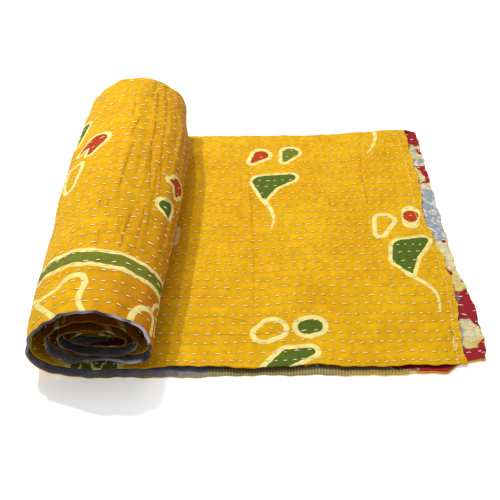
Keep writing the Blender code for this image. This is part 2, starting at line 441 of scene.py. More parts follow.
def by_ply(rows, at, lower):
    """A table's value, from its column for the lower ply and the next one for the upper ply."""
    return eased(rows, 1, at) * lower + eased(rows, 2, at) * (1 - lower)


def waves(rows, at):
    """Sum of a few waves."""
    return sum(height * np.sin(2 * math.pi * at / length + phase) for height, length, phase in rows)


def extreme(i, depth):
    """The section's extremes, with the swell at places across the depth."""
    x, z, fullness, share = EXTREMES[i].T
    left, right, up = (eased(SWELL, column, depth) * share for column in (1, 2, 3))
    x = x + np.choose(i % 4, (0.0 * left, -left, (right - left) / 2, right))
    z = z + np.choose(i % 4, (0.0 * up, 0.6 * up, up, 0.3 * up))
    return x, z, fullness


def roll_point(quarter, depth):
    """Middle of the section after some quarter turns."""
    i = np.minimum(quarter.astype(int), len(EXTREMES) - 2)
    x0, z0, fullness = extreme(i, depth)
    x1, z1, _ = extreme(i + 1, depth)
    angle = (quarter - i) * math.pi / 2
    away = np.abs(np.sin(angle)) ** fullness
    level = 1.0 - np.abs(np.cos(angle)) ** fullness
    across = np.where(i % 2 == 0, away, level)
    up = np.where(i % 2 == 0, level, away)
    dent = sum(height * np.exp(-(((quarter - at) / width) ** 2)) for at, width, height in DENTS)
    return np.stack((x0 + (x1 - x0) * across, z0 + (z1 - z0) * up + dent))


FLAT_RUN = TAIL_END - EXTREMES[0][0]
QUARTERS = np.linspace(0.0, ROLL_QUARTERS, PATH_STEPS)
ROLL_POINTS = roll_point(QUARTERS, 0.0 * QUARTERS)
ROLL_LENGTHS = np.concatenate(([0.0], np.cumsum(np.hypot(*np.diff(ROLL_POINTS, axis=1)))))
PATH_LENGTH = FLAT_RUN + float(ROLL_LENGTHS[-1])
QUILT_WIDTH = 2 * FOLDED_DEPTH


def section_point(along, depth):
    """Middle of the section at distances along the path."""
    quarter = np.interp(along - FLAT_RUN, ROLL_LENGTHS, QUARTERS)
    flat = np.stack((TAIL_END - along, np.full_like(along, HALF)))
    return np.where(along <= FLAT_RUN, flat, roll_point(quarter, depth))


def section_normal(along, depth):
    """Direction from the lower ply to the upper one."""
    step = 0.002
    middle = np.minimum(along, PATH_LENGTH - step)
    tangent = section_point(middle + step, depth) - section_point(middle - step, depth)
    tangent /= np.linalg.norm(tangent, axis=0)
    return np.stack((tangent[1], -tangent[0]))


def uneven(first, second, sizes, seed):
    """Smooth unevenness from -1 to 1 over two coordinates, with its size along each."""
    points = zip((first / sizes[0]).tolist(), (second / sizes[1]).tolist())
    return np.array([noise.noise((x, y, seed)) for x, y in points])


def crease(along, depth):
    """Creases that run across the quilt's width, in the roll only."""
    fade = smooth((along - FLAT_RUN - 0.02) / 0.10)
    turn = 2 * math.pi
    return fade * sum(
        height * np.sin(turn * along / length + drift * np.sin(turn * depth / FOLDED_DEPTH) + phase)
        for length, height, drift, phase in CREASES
    )


def ripple(along, depth):
    """How far the upper ply of the flat end is lifted off the lower one."""
    fade = smooth(along / 0.05) * smooth((FLAT_RUN - 0.06 - along) / 0.10)
    turn = 2 * math.pi
    return fade * sum(
        height * (1.0 + np.sin(turn * along / length + turn * depth / width))
        for length, width, height in RIPPLES
    )


def creasing(along, width):
    """Signed distance to the nearest sharp crease, and how deep that crease looks there."""
    lower = width > FOLDED_DEPTH
    depth = np.where(lower, QUILT_WIDTH - width, width)
    wander = CREASE_WANDER * uneven(along, depth, (0.060, 0.024), 11.3)
    nearest = np.full(len(along), FAR)
    deepest = np.zeros(len(along))
    for ply, back_along, back, front_along, front, deep in CREASE_LINES:
        share = (back - depth) / (back - front)
        off = along + wander - back_along - (front_along - back_along) * share
        shown = smooth((back - depth) / CREASE_FADE) * smooth((depth - front) / CREASE_FADE)
        shown = shown * smooth((CREASE_REACH - np.abs(off)) / RIDGE_REACH)
        closer = (shown > 0) & (np.abs(off) < np.abs(nearest)) & (lower if ply == "lower" else ~lower)
        nearest = np.where(closer, off, nearest)
        deepest = np.where(closer, deep * shown, deepest)
    return nearest, deepest


def is_lower(width):
    """1 on the lower ply, 0 on the upper ply, turning over in the fold."""
    round_the_fold = np.clip((width - FOLDED_DEPTH) / FOLD_REACH, -1, 1)
    return 0.5 + 0.5 * np.sin(round_the_fold * math.pi / 2)


def row_wave(along, width):
    """How far the rows of stitches stray from straight."""
    turn = 2 * math.pi
    return sum(
        height * np.sin(turn * (along / length + turns * width)) for height, length, turns in ROW_WAVES
    )


def row_number(along, width):
    """Which row of stitches a place lies on, with shares in between."""
    pairs = (width + row_wave(along, width) - FIRST_ROW) / ROW_PAIR
    whole = np.floor(pairs)
    part = pairs - whole
    close = CLOSE_ROWS / ROW_PAIR
    return 2 * whole + np.where(part < close, part / close, 1 + (part - close) / (1 - close))


def row_width(row):
    """Where a row lies across the width before it strays."""
    return FIRST_ROW + ROW_PAIR * (row // 2) + CLOSE_ROWS * (row % 2)


def row_pitch(row):
    """Length of one stitch and one gap in a row."""
    return PITCH[0] + PITCH[1] * np.mod(row * PITCH_STEP, 1.0)


def row_start(row):
    """Where a row's first stitch starts, as a share of its pitch."""
    return np.mod(row * START_STEP, 1.0)


def relief(along, width, sizes):
    """Height of the quilted cloth over its smooth sheet."""
    row = row_number(along, width)
    nearest = np.round(row)
    gap = np.abs(row - nearest) * ROW_PAIR / 2
    stitch = along / row_pitch(nearest) + row_start(nearest)
    pull = np.exp(-((gap / PULL_REACH) ** 2)) * (0.75 + 0.25 * np.cos(2 * math.pi * stitch))
    puff = uneven(along, width, (0.011, 0.040), 3.1) * 0.7 + uneven(along, width, (0.030, 0.024), 7.7)
    off, creased = creasing(along, width)
    ridge = np.exp(-(((np.abs(off) - RIDGE_PLACE) / RIDGE_REACH) ** 2))
    groove = np.exp(-((off / GROOVE_REACH) ** 2)) - 0.45 * ridge
    return sizes.relief * (0.55 * puff - 0.8 * pull - 0.9 * creased * groove)


def padding_height(along, width, sizes):
    """Height of the quilted cloth, kept down where the quilt lies on the floor."""
    raised = relief(along, width, sizes)
    under = is_lower(width) * (1.0 - smooth((along - OFF_THE_FLOOR[0]) / np.diff(OFF_THE_FLOOR)))
    return np.where(raised > 0, raised * (1.0 - under), raised * (1.0 - 0.7 * under))


def round_the_hem(over, along, width, height, inner):
    """Height of a cloth on its way round the hem's edge, and its reach beyond the hem.

    The share over is 0 at the hem and 1 at the cloth's own edge: the face comes from above, the backing
    from inside.
    """
    turn_share = by_ply(FACE_TURN, along, is_lower(width))
    if inner:
        turn_share = 1.0 - turn_share
    angle = over * turn_share * math.pi
    bead = eased(HEM_BEAD, 1, along) * smooth(1.0 - (QUILT_WIDTH - width) / 0.012)
    radius = EDGE_RADIUS + bead
    middle = HALF - radius
    height = height - (2 * bead if inner else 0.0)
    return middle + (height - middle) * np.cos(angle), np.sin(angle) * radius


def folded_depth(along, width, height, hem):
    """Depth of a place after the quilt is folded in half, with the fold at the back."""
    from_fold = np.abs(width - FOLDED_DEPTH)
    back = FOLDED_DEPTH - HALF
    flat_depth = back + (hem - back) * np.maximum(0.0, from_fold - FOLD_REACH) / (FOLDED_DEPTH - FOLD_REACH)
    in_fold = np.cos(np.minimum(1.0, from_fold / FOLD_REACH) * math.pi / 2)
    wander = waves(FOLD_WAVES, along)
    at_hem = smooth((from_fold - 0.70) / 0.06)
    return flat_depth + height * in_fold + wander * (0.8 * at_hem - in_fold)


def lifted(along, depth, hem, corner):
    """How far the upper ply stands off the lower one."""
    to_hem = smooth(1.0 - np.abs(depth - hem) / NEAR_HEM)
    lift = ripple(along, depth) * smooth((FOLDED_DEPTH - depth) / 0.10)
    return lift + eased(LIFTED_HEM, 1, along) * to_hem + CORNER_LIFT * corner * smooth((depth - 0.66) / 0.08)


def swayed(along, depth, hem):
    """How far both plies of the roll stray from its smooth turns, most at the front."""
    at_front = smooth(1.0 - (depth - hem) / NEAR_HEM)
    rolled = smooth((along - FLAT_RUN - 0.04) / 0.08)
    return rolled * sum(
        height * np.maximum(share, at_front) * uneven(along, depth, (length, width), seed)
        for height, length, width, seed, share in SWAY
    )


def cloth_points(along, width, height, inner=False):
    """Points of a cloth, and its places on the print as along and depth.

    Height is measured from the middle of the folded section.
    """
    over_front = np.maximum(0.0, np.maximum(-width, width - QUILT_WIDTH)) / EDGE_STEPS[-1]
    over_right = np.maximum(0.0, -along) / EDGE_STEPS[-1]
    along = np.clip(along, 0.0, PATH_LENGTH)
    width = np.clip(width, 0.0, QUILT_WIDTH)
    lower = is_lower(width)
    height, reach = round_the_hem(np.maximum(over_front, over_right), along, width, height, inner)

    hem = by_ply(FRONT_HEMS, along, width > FOLDED_DEPTH)
    corner = 1.0 - smooth(along / CORNER_LENGTH)
    depth = folded_depth(along, width, height, hem) - reach * (over_front > 0)
    depth = depth + CORNER_BACK * corner * np.maximum(0.0, depth / FOLDED_DEPTH) ** 2

    up = height * (1.0 - 2.0 * lower) + crease(along, depth) + swayed(along, depth, hem)
    up = up + lifted(along, depth, hem, corner) * (1.0 - lower)
    points = section_point(along, depth) + section_normal(along, depth) * up

    end = by_ply(RIGHT_HEMS, depth, lower) + eased(RIGHT_HEM_SHIFT, 1, depth) * (1.0 - lower)
    shift = (end - TAIL_END) * (1.0 - smooth(along / SHIFT_LENGTH))
    edge = waves(RIGHT_EDGE_WAVES, depth) * (1.0 - smooth(along / 0.05))
    x = points[0] + shift + edge + reach * (over_right > 0)
    places = np.stack((x - CENTRE[0], depth - CENTRE[1], np.maximum(points[1], FLOOR_GAP)), axis=1)
    return places, along - shift, depth


def drop_distance(points, first, second):
    """Distance to a drop whose two ends have their own radii."""
    start, end = np.array(first[:2]), np.array(second[:2])
    way = end - start
    share = np.clip((points - start) @ way / (way @ way), 0.0, 1.0)
    radius = first[2] + (second[2] - first[2]) * share
    return np.linalg.norm(points - start - share[:, None] * way, axis=1) - radius


def curved(points):
    """A smooth route through a few points."""
    route = np.array(points)
    ends = np.concatenate((2 * route[:1] - route[1:2], route, 2 * route[-1:] - route[-2:-1]))
    t = np.linspace(0.0, 1.0, 5)[:-1, None]
    parts = []
    for a, b, c, d in zip(ends, ends[1:], ends[2:], ends[3:]):
        parts.append(b + 0.5 * t * (c - a + t * (2 * a - 5 * b + 4 * c - d + t * (3 * (b - c) + d - a))))
    return np.concatenate((*parts, route[-1:]))


def printed(along, depth, width):
    """Distances to each dye of the face's print."""
    lower = width > FOLDED_DEPTH
    start, length = MOTIF_REPEAT
    motif = np.where(lower, np.mod(along - start, length) + start, along)
    start, length = VINE_REPEAT
    vine = np.mod(along - start, length) + start
    grounds = {"upper": ~lower, "lower": lower, "vine": lower}
    at = {
        "upper": np.stack((along, depth), axis=1),
        "lower": np.stack((motif, depth), axis=1),
        "vine": np.stack((vine, depth), axis=1),
    }
    dyes = {name: np.full(len(along), FAR) for name in ("cream", "red", "green", "olive")}

    def dye(name, distance, ply):
        dyes[name] = np.where(grounds[ply], np.minimum(dyes[name], distance), dyes[name])

    for ply, fill, outline, *ends in DROPS:
        distance = drop_distance(at[ply], ends[:3], ends[3:])
        if fill == "open":
            dye("cream", np.abs(distance - outline / 2) - outline / 2, ply)
            continue
        dye("cream", distance - outline, ply)
        dye(fill, distance, ply)
    for ply, first, last, *points in STALKS:
        route = curved(points)
        radii = np.linspace(first, last, len(route))
        for i in range(len(route) - 1):
            distance = drop_distance(at[ply], (*route[i], radii[i]), (*route[i + 1], radii[i + 1]))
            dye("cream", distance, ply)
            dyes["green"] = np.where(grounds[ply], np.maximum(dyes["green"], -distance), dyes["green"])
    off_band = np.abs(depth - eased(BAND, 1, along)) + BAND_RAGGED * uneven(along, depth, (0.014, 0.014), 33.0)
    dye("cream", off_band - BAND_HALF - BAND_OUTLINE, "lower")
    dye("olive", off_band - BAND_HALF, "lower")
    return dyes


def patched(along, depth, width):
    """Distances to each dye of the backing's print."""
    lower = width > FOLDED_DEPTH
    dyes = {name: np.full(len(along), FAR) for name in ("cream", "blue", "slate", "khaki", "red")}
    column, row = BLUE_REPEAT
    shifted = along + BLUE_SHIFT * np.mod(np.floor(depth / row), 2)
    off_along = np.mod(shifted, column) - column / 2
    off_depth = np.mod(depth, row) - row / 2
    off_patch = np.hypot(off_along / BLUE_HALF[0], off_depth / BLUE_HALF[1])
    dyes["blue"] = (off_patch - 1.0) * 0.09 + FAR * (along < BLUE_FROM)
    for name, ply, at_along, at_depth, reach_along, reach_depth in PATCHES:
        on_ply = lower if ply == "lower" else ~lower
        spread = np.hypot((along - at_along) / reach_along, (depth - at_depth) / reach_depth)
        distance = (spread - 1.0) * min(reach_along, reach_depth)
        dyes[name] = np.where(on_ply, np.minimum(dyes[name], distance), dyes[name])
    return dyes


def marks(length, step, both_hems):
    """Even places over a length, and those beyond its first hem or both."""
    count = max(2, round(length / step))
    inside = [length * i / count for i in range(count + 1)]
    before = [-at for at in reversed(EDGE_STEPS)]
    after = [length + at for at in EDGE_STEPS]
    return before + inside + (after if both_hems else [])


def flat_grid(alongs, widths):
    """The cloth laid out flat, as one grid."""
    bm = bmesh.new()
    bmesh.ops.create_grid(bm, x_segments=len(alongs) - 1, y_segments=len(widths) - 1, size=0.5)
    for vert in bm.verts:
        column = round((vert.co.x + 0.5) * (len(alongs) - 1))
        row = round((vert.co.y + 0.5) * (len(widths) - 1))
        vert.co = (alongs[column], widths[row], 0.0)
    return bm


def refine(bm, inside, cuts):
    """Divide the grid where a test of along and width holds."""
    chosen = [edge for edge in bm.edges if all(inside(*vert.co.xy) for vert in edge.verts)]
    bmesh.ops.subdivide_edges(bm, edges=chosen, cuts=cuts, use_grid_fill=True)


def mesh_object(name, mesh, material):
    """A piece of the quilt, on its body and in its material slot."""
    mesh.materials.append(material)
    piece = bpy.data.objects.new(name, mesh)
    bpy.context.scene.collection.objects.link(piece)
    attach(piece, "root")
    return piece


def corner_places(mesh):
    """Each vertex's place, as columns."""
    places = np.empty(len(mesh.vertices) * 3)
    mesh.vertices.foreach_get("co", places)
    return places.reshape(-1, 3)


def store(mesh, name, values):
    """Keep one number per vertex for the material."""
    attribute = mesh.attributes.new(name, "FLOAT", "POINT")
    attribute.data.foreach_set("value", values)


def store_layout(mesh, name, first, second):
    """Keep two coordinates per vertex as a UV map."""
    corners = np.empty(len(mesh.loops), int)
    mesh.loops.foreach_get("vertex_index", corners)
    layer = mesh.uv_layers.new(name=name)
    layer.data.foreach_set("uv", np.stack((first[corners], second[corners]), axis=1).ravel())


def cloth_mesh(name, bm, height, inner, sizes, distances):
    """A finished cloth from its flat grid, with its distances to each dye of its print."""
    bmesh.ops.recalc_face_normals(bm, faces=bm.faces)
    mesh = bpy.data.meshes.new(name)
    bm.to_mesh(mesh)
    bm.free()
    along, width, _ = corner_places(mesh).T
    raised = padding_height(along, width, sizes)
    heights = height + (-BACKING_SHARE * raised if inner else raised)
    places, print_along, depth = cloth_points(along, width, heights, inner)
    mesh.vertices.foreach_set("co", places.ravel())
    for dye, distance in distances(print_along, depth, width).items():
        store(mesh, dye, distance)
    store(mesh, "raised", raised / sizes.relief)
    for attribute, values in zip(("crease", "creased"), creasing(along, width)):
        store(mesh, attribute, values)
    store_layout(mesh, "Cloth", along, width)
    store_layout(mesh, "Rows", along, row_number(along, width))
    mesh.shade_smooth()
    mesh.update()
    return mesh


class Shader:
    """Adds linked nodes to one new material."""

    def __init__(self, name):
        self.material = bpy.data.materials.new(name)
        self.material.use_nodes = True
        self.tree = self.material.node_tree
        self.surface = self.tree.nodes["Principled BSDF"]

    def node(self, kind, inputs=None, **settings):
        """Add a node, with its inputs linked or set."""
        made = self.tree.nodes.new("ShaderNode" + kind)
        for name, value in settings.items():
            setattr(made, name, value)
        for key, value in (inputs or {}).items():
            self.feed(made.inputs[key], value)
        return made

    def feed(self, socket, value):
        """Link another socket to this one, or set its value."""
        if isinstance(value, bpy.types.NodeSocket):
            self.tree.links.new(value, socket)
        else:
            socket.default_value = value

    def math(self, operation, *values):
        """Work one number out from others."""
        return self.node("Math", dict(enumerate(values)), operation=operation).outputs[0]

    def ramp(self, value, low, high, to_low=0.0, to_high=1.0):
        """Map a value from one range to another, kept inside it."""
        inputs = {"Value": value, "From Min": low, "From Max": high, "To Min": to_low, "To Max": to_high}
        return self.node("MapRange", inputs).outputs[0]

    def blend(self, factor, first, second, how="MIX"):
        """Mix two colours."""
        made = self.node("Mix", data_type="RGBA", blend_type=how)
        colour_sockets = [s for s in made.inputs if s.type == "RGBA"]
        self.feed(made.inputs[0], factor)
        self.feed(colour_sockets[0], first)
        self.feed(colour_sockets[1], second)
        return [s for s in made.outputs if s.type == "RGBA"][0]

    def attribute(self, name):
        """A number kept on each vertex."""
        return self.node("Attribute", attribute_name=name).outputs["Fac"]

    def layout(self, name):
        """A UV map's two coordinates, as a vector and one by one."""
        vector = self.node("UVMap", uv_map=name).outputs[0]
        parts = self.node("SeparateXYZ", {0: vector})
        return vector, parts.outputs[0], parts.outputs[1]

    def stretched(self, vector, scale):
        """A vector with its coordinates scaled."""
        return self.node("Mapping", {"Vector": vector, "Scale": scale}).outputs[0]

    def noise(self, vector, detail=2.0, roughness=0.5, scale=1.0):
        """Cloudy unevenness from 0 to 1."""
        inputs = {"Vector": vector, "Scale": scale, "Detail": detail, "Roughness": roughness}
        return self.node("TexNoise", inputs).outputs[0]

    def cells(self, vector, scale, feature):
        """Distance in a pattern of uneven cells."""
        made = self.node("TexVoronoi", {"Vector": vector, "Scale": scale}, feature=feature)
        return made.outputs["Distance"]

    def stripes(self, vector, scale, distortion, direction):
        """Soft stripes from 0 to 1."""
        inputs = {"Vector": vector, "Scale": scale, "Distortion": distortion}
        return self.node("TexWave", inputs, bands_direction=direction).outputs["Fac"]

    def toned(self, colour, tone):
        """Make a colour darker or lighter."""
        return self.blend(1.0, colour, tone, "MULTIPLY")

    def bump(self, height, distance, normal=None):
        """A surface direction that shows a height."""
        inputs = {"Height": height, "Distance": distance, "Strength": 1.0}
        if normal is not None:
            inputs["Normal"] = normal
        return self.node("Bump", inputs).outputs[0]


def weave(shader, vector):
    """Height of a plain weave."""
    warp = shader.stripes(vector, 160.0, 0.6, "X")
    weft = shader.stripes(vector, 160.0, 0.6, "Y")
    return shader.math("ADD", warp, weft)


def stitch_pull(shader):
    """How strongly each stitch pulls the cloth in, from 0 to 1."""
    _, along, row = shader.layout("Rows")
    nearest = shader.math("ROUND", row)
    longer = shader.math("FRACT", shader.math("MULTIPLY", nearest, PITCH_STEP))
    pitch = shader.math("MULTIPLY_ADD", longer, PITCH[1], PITCH[0])
    start = shader.math("FRACT", shader.math("MULTIPLY", nearest, START_STEP))
    stitch = shader.math("ADD", shader.math("DIVIDE", along, pitch), start)
    off_stitch = shader.math("SUBTRACT", stitch, shader.math("ROUND", stitch))
    off_row = shader.math("SUBTRACT", row, nearest)
    across = shader.math("POWER", shader.math("MULTIPLY", off_row, 7.5), 2.0)
    along_it = shader.math("POWER", shader.math("MULTIPLY", off_stitch, 3.4), 2.0)
    return shader.math("EXPONENT", shader.math("MULTIPLY", shader.math("ADD", across, along_it), -1.0))


def line_distance(shader, vector, start, end):
    """Distance on the cloth to a straight line between two places."""
    way = Vector((end[0] - start[0], end[1] - start[1], 0.0))
    off = shader.node("VectorMath", {0: vector, 1: (*start, 0.0)}, operation="SUBTRACT").outputs[0]
    inputs = {0: off, 1: way / way.length_squared}
    share = shader.node("VectorMath", inputs, operation="DOT_PRODUCT").outputs["Value"]
    held = shader.math("MINIMUM", shader.math("MAXIMUM", share, 0.0), 1.0)
    along = shader.node("VectorMath", {0: tuple(way), "Scale": held}, operation="SCALE").outputs[0]
    rest = shader.node("VectorMath", {0: off, 1: along}, operation="SUBTRACT").outputs[0]
    return shader.node("VectorMath", {0: rest}, operation="LENGTH").outputs["Value"]


def cloth_surface(shader, vector, colour, height, fine, shine):
    """Join a cloth's colour, creases and weave to its surface."""
    normal = shader.bump(weave(shader, vector), 0.00006, shader.bump(height, 0.0011))
    shader.feed(shader.surface.inputs["Base Color"], colour)
    shader.feed(shader.surface.inputs["Roughness"], shader.ramp(fine, 0.3, 0.7, 0.72, 0.88))
    shader.feed(shader.surface.inputs["Normal"], normal)
    shader.surface.inputs["Specular IOR Level"].default_value = shine
    return shader.material


def face_dyed(shader, colours, along, width, broad, fine):
    """Colour of the face's print, with painted orange shade on the roll's right side, deepest towards the
    front hem.
    """
    ground = shader.blend(shader.ramp(broad, 0.35, 0.65), colours.yellow, colours.yellow_deep)
    # Painted shade: a darker orange blended over the ground on the roll's right side, more of it towards the
    # front hem
    on_lower = shader.ramp(width, FOLDED_DEPTH - 0.01, FOLDED_DEPTH + 0.01)
    turned = shader.math("MULTIPLY", shader.ramp(along, 0.90, 1.03), on_lower)
    near_hem = shader.ramp(width, QUILT_WIDTH - 0.22, QUILT_WIDTH - 0.06, 0.46, 1.0)
    turned = shader.math("MULTIPLY", turned, near_hem)
    colour = shader.blend(turned, ground, colours.side_shade_orange)
    ragged = shader.math("MULTIPLY_ADD", fine, 0.0034, -0.0017)
    for name in ("cream", "red", "green", "olive"):
        edge = shader.math("ADD", shader.attribute(name), ragged)
        colour = shader.blend(shader.ramp(edge, 0.0004, -0.0004), colour, getattr(colours, name))
    return shader.toned(colour, shader.ramp(fine, 0.30, 0.75, 0.80, 1.09))


def face_creased(shader, vector, along, width, broad):
    """How deep the face's creases look, from 0 to 1: the main ones broken in places, the fine ones faint."""
    off_crease = shader.math("ABSOLUTE", shader.attribute("crease"))
    broken = shader.ramp(shader.noise(shader.stretched(vector, (40.0, 70.0, 1.0)), 2.0), 0.36, 0.52)
    groove = shader.math("MULTIPLY", shader.ramp(off_crease, 0.0011, 0.0003), shader.attribute("creased"))
    groove = shader.math("MULTIPLY", groove, broken)
    wobble = shader.math("MULTIPLY_ADD", broad, 0.012, -0.006)
    place = shader.node("CombineXYZ", {0: shader.math("ADD", along, wobble), 1: width}).outputs[0]
    distances = [line_distance(shader, place, start, end) for start, end in FINE_CREASES]
    nearest = distances[0]
    for distance in distances[1:]:
        nearest = shader.math("MINIMUM", nearest, distance)
    fine_crease = shader.math("MULTIPLY", shader.ramp(nearest, 0.0018, 0.0004), 0.6)
    return shader.math("MAXIMUM", groove, fine_crease)


def face_material(colours):
    """Printed yellow cotton, creased and pulled in by its stitches, with painted shade in its dips, creases
    and ridges, on the roll's right side and inside the roll.
    """
    shader = Shader("face cotton")
    vector, along, width = shader.layout("Cloth")
    broad = shader.noise(shader.stretched(vector, (9.0, 9.0, 1.0)), 3.0)
    fine = shader.noise(shader.stretched(vector, (95.0, 60.0, 1.0)), 4.0, 0.6)
    colour = face_dyed(shader, colours, along, width, broad, fine)
    # Painted shade: darker where the padding sinks, in the dips at the stitches and in the creases' grooves
    colour = shader.toned(colour, shader.ramp(shader.attribute("raised"), -0.8, 0.4, 0.84, 1.03))
    lines = face_creased(shader, vector, along, width, broad)
    # Painted shade along the main and fine creases
    colour = shader.blend(shader.math("MULTIPLY", lines, 0.72), colour, colours.shade)

    # Painted shade in the hollows between soft ridges on the roll's right side; the same ridges also bump the
    # surface below
    ridged = shader.math("MULTIPLY", shader.ramp(along, 0.88, 0.95), shader.ramp(along, 1.12, 1.08))
    ridged = shader.math("MULTIPLY", ridged, shader.ramp(width, QUILT_WIDTH - 0.15, QUILT_WIDTH - 0.24))
    ridged = shader.math("MULTIPLY", ridged, shader.ramp(width, FOLDED_DEPTH, FOLDED_DEPTH + 0.02))
    ridges = shader.noise(shader.stretched(vector, (72.0, 3.6, 1.0)), 1.5)
    shaded = shader.toned(colour, shader.ramp(ridges, 0.35, 0.60, 0.82, 1.03))
    colour = shader.blend(ridged, colour, shaded)
    # Painted shade: darker where the outer turn goes inside the roll
    colour = shader.toned(colour, shader.ramp(along, *INTO_THE_ROLL, 1.0, 0.34))

    pulled = stitch_pull(shader)
    # Painted shade round each stitch where it pulls the cloth in
    colour = shader.blend(shader.math("MULTIPLY", pulled, 0.16), colour, colours.shade)
    crumple = shader.noise(shader.stretched(vector, (120.0, 45.0, 1.0)), 3.0, 0.55)
    height = shader.math("MULTIPLY_ADD", pulled, -0.8, crumple)
    height = shader.math("MULTIPLY_ADD", lines, -0.9, height)
    height = shader.math("MULTIPLY_ADD", shader.math("MULTIPLY", ridges, ridged), 4.0, height)
    return cloth_surface(shader, vector, colour, height, fine, 0.10)


def backing_dyed(shader, vector, colours, broad, fine):
    """Colour of the backing's print: petals on dark red, under patches of five dyes."""
    petals = shader.cells(vector, 42.0, "F1")
    ground = shader.blend(shader.ramp(petals, 0.20, 0.16), colours.backing_red, colours.backing_cream)
    colour = shader.blend(shader.ramp(broad, 0.56, 0.46), ground, colours.backing_red)

    swirl = shader.cells(vector, 30.0, "SMOOTH_F1")
    ring = shader.math("FRACT", shader.math("MULTIPLY_ADD", swirl, 4.6, shader.math("MULTIPLY", broad, 3.0)))
    ring = shader.math("ABSOLUTE", shader.math("SUBTRACT", ring, 0.5))
    worn = shader.math("MULTIPLY", shader.ramp(ring, 0.24, 0.12), shader.ramp(fine, 0.38, 0.56))
    blue = shader.blend(worn, colours.backing_blue, colours.backing_pale)
    veins = shader.ramp(shader.cells(vector, 60.0, "DISTANCE_TO_EDGE"), 0.10, 0.02, 0.0, 0.55)
    cream = shader.blend(veins, colours.backing_cream, colours.backing_blue)
    cream = shader.blend(shader.ramp(broad, 0.50, 0.60), cream, colours.backing_yellow)
    cream = shader.blend(shader.ramp(petals, 0.15, 0.11), cream, colours.backing_red)
    ribs = shader.stripes(vector, 62.0, 1.0, "X")
    khaki = shader.blend(ribs, colours.backing_khaki, colours.backing_olive)
    slate = shader.blend(shader.ramp(broad, 0.40, 0.66), colours.backing_slate, colours.backing_slate_light)

    ragged = shader.math("MULTIPLY_ADD", broad, 0.024, -0.012)
    ragged = shader.math("ADD", ragged, shader.math("MULTIPLY_ADD", fine, 0.010, -0.005))
    dyes = {"cream": cream, "blue": blue, "slate": slate, "khaki": khaki, "red": colours.backing_red}
    for name, dye in dyes.items():
        edge = shader.math("ADD", shader.attribute(name), ragged)
        colour = shader.blend(shader.ramp(edge, 0.0010, -0.0010), colour, dye)
    return colour


def backing_material(colours):
    """Printed cotton in dark red, cream and grey-blue, with painted shade and patches of painted highlight on
    the rim round the roll's mouth, and painted shade inside the roll.
    """
    shader = Shader("backing cotton")
    vector, along, width = shader.layout("Cloth")
    fine = shader.noise(shader.stretched(vector, (90.0, 90.0, 1.0)), 4.0, 0.6)
    broad = shader.noise(shader.stretched(vector, (26.0, 26.0, 1.0)), 2.0)
    colour = backing_dyed(shader, vector, colours, broad, fine)

    rim = shader.math("MULTIPLY", shader.ramp(along, 0.80, 0.86), shader.ramp(along, 1.19, 1.13))
    rim = shader.math("MULTIPLY", rim, shader.ramp(width, QUILT_WIDTH - 0.0040, QUILT_WIDTH - 0.0015))
    # Painted shade: the colour on the rim round the roll's mouth is darkened
    colour = shader.toned(colour, shader.ramp(rim, 0.0, 1.0, 1.0, 0.30))
    # Painted highlight in patches along the rim round the roll's mouth
    patchy = shader.noise(shader.stretched(vector, (22.0, 60.0, 1.0)), 1.0)
    highlight_patches = shader.math("MULTIPLY", shader.ramp(along, 0.88, 0.96), shader.ramp(patchy, 0.46, 0.56))
    colour = shader.blend(shader.math("MULTIPLY", rim, highlight_patches), colour, colours.backing_edge)
    # Painted shade inside the roll: a little darker where the outer turn goes in, much darker on the inner
    # turns
    colour = shader.toned(colour, shader.ramp(along, *INTO_THE_ROLL, 1.0, 0.92))
    colour = shader.toned(colour, shader.ramp(along, 1.50, 1.64, 1.0, 0.30))
    colour = shader.toned(colour, shader.ramp(fine, 0.30, 0.75, 0.78, 1.08))

    crumple = shader.noise(shader.stretched(vector, (120.0, 45.0, 1.0)), 3.0, 0.55)
    height = shader.math("MULTIPLY_ADD", stitch_pull(shader), -0.8, crumple)
    return cloth_surface(shader, vector, colour, height, fine, 0.22)


def thread_material(name, colour, deep_colour):
    """Twisted cotton thread."""
    shader = Shader(name)
    place = shader.node("TexCoord").outputs["Object"]
    cloudy = shader.noise(place, 2.0, 0.5, 60.0)
    colour = shader.blend(shader.ramp(cloudy, 0.35, 0.65), colour, deep_colour)
    twist = shader.stripes(place, 420.0, 1.0, "DIAGONAL")
    shader.feed(shader.surface.inputs["Base Color"], colour)
    shader.feed(shader.surface.inputs["Normal"], shader.bump(twist, 0.0001))
    shader.surface.inputs["Roughness"].default_value = 0.8
    shader.surface.inputs["Specular IOR Level"].default_value = 0.25
    return shader.material


class QuiltSizes(bpy.types.PropertyGroup):
    """Sizes of the quilting and of the cloth's grid."""

    relief: bpy.props.FloatProperty(
        name="Relief",
        description="How far the padding stands out between stitches",
        default=0.0011,
        unit="LENGTH",
    )
    stitch_share: bpy.props.FloatProperty(
        name="Stitch share", description="Length of a stitch, as a share of stitch and gap", default=0.46
    )
    thread: bpy.props.FloatProperty(
        name="Thread", description="Thickness of the quilting thread", default=0.0022, unit="LENGTH"
    )
    grid: bpy.props.FloatProperty(
        name="Grid", description="Size of the cloth's grid before it is refined", default=0.012, unit="LENGTH"
    )


def colour_property(label, description, value):
    """A colour that the panel shows."""
    return bpy.props.FloatVectorProperty(
        name=label, description=description, default=(*value, 1.0), size=4, subtype="COLOR", min=0.0, max=1.0
    )


